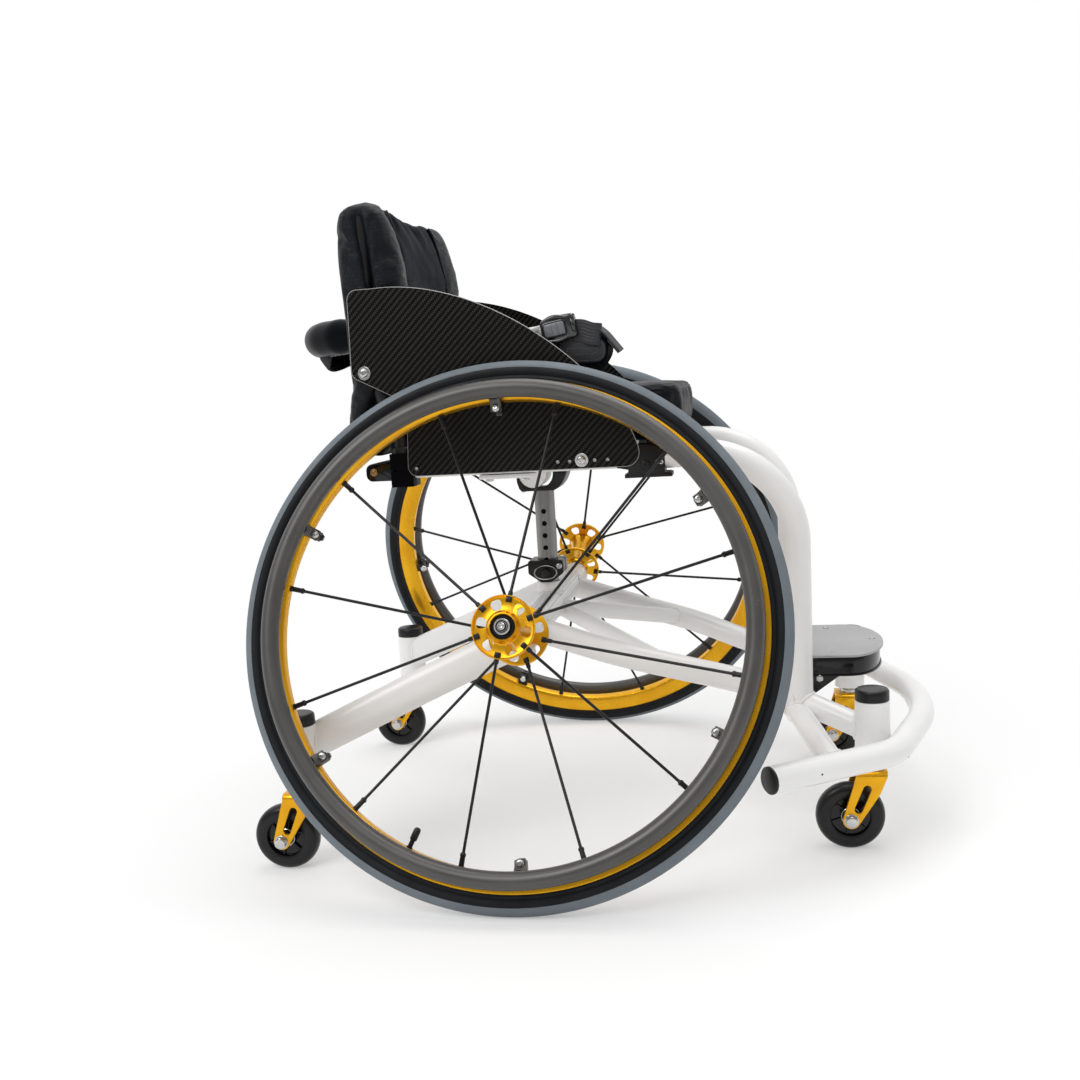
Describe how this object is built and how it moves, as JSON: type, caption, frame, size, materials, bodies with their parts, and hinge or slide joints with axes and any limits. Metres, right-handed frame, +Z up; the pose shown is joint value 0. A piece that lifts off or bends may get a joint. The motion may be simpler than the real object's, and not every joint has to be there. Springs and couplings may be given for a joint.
{
  "type": "rigid sports wheelchair",
  "caption": "Rigid sports wheelchair with steeply cambered spoked wheels, swivel casters, a front bumper, carbon side guards, a low padded back and a lap strap.",
  "frame": {"origin": "on the ground, under the middle of the chair's length and width", "axes": "+X forward, +Y to the occupant's left, +Z up"},
  "size_m": [0.8112, 0.8022, 0.7715],
  "materials": {
    "white_paint": "gloss white powder coat",
    "gold": "gold anodised",
    "bare_metal": "bare, drawn",
    "bright_metal": "bright",
    "black_metal": "satin black",
    "black_plastic": "moulded, satin",
    "grey_plate": "fine-textured grey",
    "tyre_rubber": "smooth tread",
    "handrim_grey": "satin grey",
    "carbon": "twill weave under clear coat",
    "back_leather": "grained, padded",
    "nylon": "plain woven",
    "vinyl": "smooth coated cover",
    "webbing": "ribbed webbing",
    "caster_tyre": "moulded tread"
  },
  "bodies": {
    "frame": {"camber_tube": "white_paint", "rear_arm_left": "white_paint", "rear_arm_right": "white_paint", "front_leg_left": "white_paint", "front_leg_right": "white_paint", "lower_tube_left": "white_paint", "lower_tube_right": "white_paint", "centre_brace": "white_paint", "front_arm_left": "white_paint", "front_arm_right": "white_paint", "bumper": "white_paint", "front_cross_tube": "white_paint", "footplate": "grey_plate", "footplate_band": "black_metal", "seat_pivot_left": "black_metal", "seat_pivot_right": "black_metal", "post_collar": "black_metal", "axle_left": "bright_metal", "axle_right": "bright_metal", "housing_cap_front_left": "black_plastic", "housing_cap_front_right": "black_plastic", "housing_cap_rear_left": "black_plastic", "housing_cap_rear_right": "black_plastic"},
    "seat": {"seat_rail_left": "white_paint", "seat_rail_right": "white_paint", "seat_cross_member": "white_paint", "back_post_left": "black_metal", "back_post_right": "black_metal", "rear_cross_bar": "black_metal", "rear_push_bar": "black_plastic", "side_guard_left": "carbon", "side_guard_right": "carbon", "seat_sling": "nylon", "cushion": "vinyl", "back_upholstery": "back_leather", "lap_strap_right": "webbing", "lap_strap_left": "webbing", "buckle": "black_plastic"},
    "post": {"seat_post": "bare_metal", "post_cradle": "black_metal"},
    "height_pin": {"height_pin": "bright_metal"},
    "buckle_button": {"buckle_button": "black_plastic"},
    "wheel_left": {"tyre_left": "tyre_rubber", "rim_left": "gold", "hub_left": "gold", "handrim_left": "handrim_grey"},
    "release_button_left": {"release_button_left": "bright_metal"},
    "wheel_right": {"tyre_right": "tyre_rubber", "rim_right": "gold", "hub_right": "gold", "handrim_right": "handrim_grey"},
    "release_button_right": {"release_button_right": "bright_metal"},
    "caster_front_left": {"caster_fork_front_left": "gold"},
    "caster_wheel_front_left": {"caster_wheel_front_left": "caster_tyre"},
    "caster_front_right": {"caster_fork_front_right": "gold"},
    "caster_wheel_front_right": {"caster_wheel_front_right": "caster_tyre"},
    "caster_rear_left": {"caster_fork_rear_left": "gold"},
    "caster_wheel_rear_left": {"caster_wheel_rear_left": "caster_tyre"},
    "caster_rear_right": {"caster_fork_rear_right": "gold"},
    "caster_wheel_rear_right": {"caster_wheel_rear_right": "caster_tyre"}
  },
  "joints": [
    {"name": "wheel_spin_left", "type": "hinge", "parent": "frame", "child": "wheel_left", "pos_m": [-0.07305, 0.28, 0.29021], "axis": [0, 0.9511, 0.309], "continuous": true},
    {"name": "axle_release_left", "type": "slide", "parent": "frame", "child": "release_button_left", "axis": [0, -0.9511, -0.309], "range_m": [0, 0.004], "stiffness_N_per_m": 900, "springref_m": -0.004},
    {"name": "wheel_spin_right", "type": "hinge", "parent": "frame", "child": "wheel_right", "pos_m": [-0.07305, -0.28, 0.29021], "axis": [0, 0.9511, -0.309], "continuous": true},
    {"name": "axle_release_right", "type": "slide", "parent": "frame", "child": "release_button_right", "axis": [0, 0.9511, -0.309], "range_m": [0, 0.004], "stiffness_N_per_m": 900, "springref_m": -0.004},
    {"name": "caster_swivel_front_left", "type": "hinge", "parent": "frame", "child": "caster_front_left", "pos_m": [0.31895, 0.1684, 0.0975], "axis": [0, 0, 1], "continuous": true},
    {"name": "caster_roll_front_left", "type": "hinge", "parent": "caster_front_left", "child": "caster_wheel_front_left", "pos_m": [0.29255, 0.1684, 0.0395], "axis": [0, 1, 0], "continuous": true},
    {"name": "caster_swivel_front_right", "type": "hinge", "parent": "frame", "child": "caster_front_right", "pos_m": [0.31895, -0.1684, 0.0975], "axis": [0, 0, 1], "continuous": true},
    {"name": "caster_roll_front_right", "type": "hinge", "parent": "caster_front_right", "child": "caster_wheel_front_right", "pos_m": [0.29255, -0.1684, 0.0395], "axis": [0, 1, 0], "continuous": true},
    {"name": "caster_swivel_rear_left", "type": "hinge", "parent": "frame", "child": "caster_rear_left", "pos_m": [-0.34005, 0.2444, 0.0975], "axis": [0, 0, 1], "continuous": true},
    {"name": "caster_roll_rear_left", "type": "hinge", "parent": "caster_rear_left", "child": "caster_wheel_rear_left", "pos_m": [-0.36645, 0.2444, 0.0395], "axis": [0, 1, 0], "continuous": true},
    {"name": "caster_swivel_rear_right", "type": "hinge", "parent": "frame", "child": "caster_rear_right", "pos_m": [-0.34005, -0.2444, 0.0975], "axis": [0, 0, 1], "continuous": true},
    {"name": "caster_roll_rear_right", "type": "hinge", "parent": "caster_rear_right", "child": "caster_wheel_rear_right", "pos_m": [-0.36645, -0.2444, 0.0395], "axis": [0, 1, 0], "continuous": true},
    {"name": "seat_tip", "type": "hinge", "parent": "frame", "child": "seat", "pos_m": [0.07295, 0, 0.4555], "axis": [0, 1, 0], "range_deg": [-11.4, 0]},
    {"name": "post_slide", "type": "slide", "parent": "frame", "child": "post", "axis": [0, 0, 1], "range_m": [-0.0316, 0]},
    {"name": "pin_pull", "type": "slide", "parent": "frame", "child": "height_pin", "axis": [0, -1, 0], "range_m": [0, 0.04]},
    {"name": "buckle_press", "type": "slide", "parent": "seat", "child": "buckle_button", "axis": [0, 1, 0], "range_m": [0, 0.0025], "stiffness_N_per_m": 900, "springref_m": -0.003}
  ],
  "couplings": [
    {"joint": "post_slide", "follows": "seat_tip", "m_per_rad": 0.1544}
  ]
}
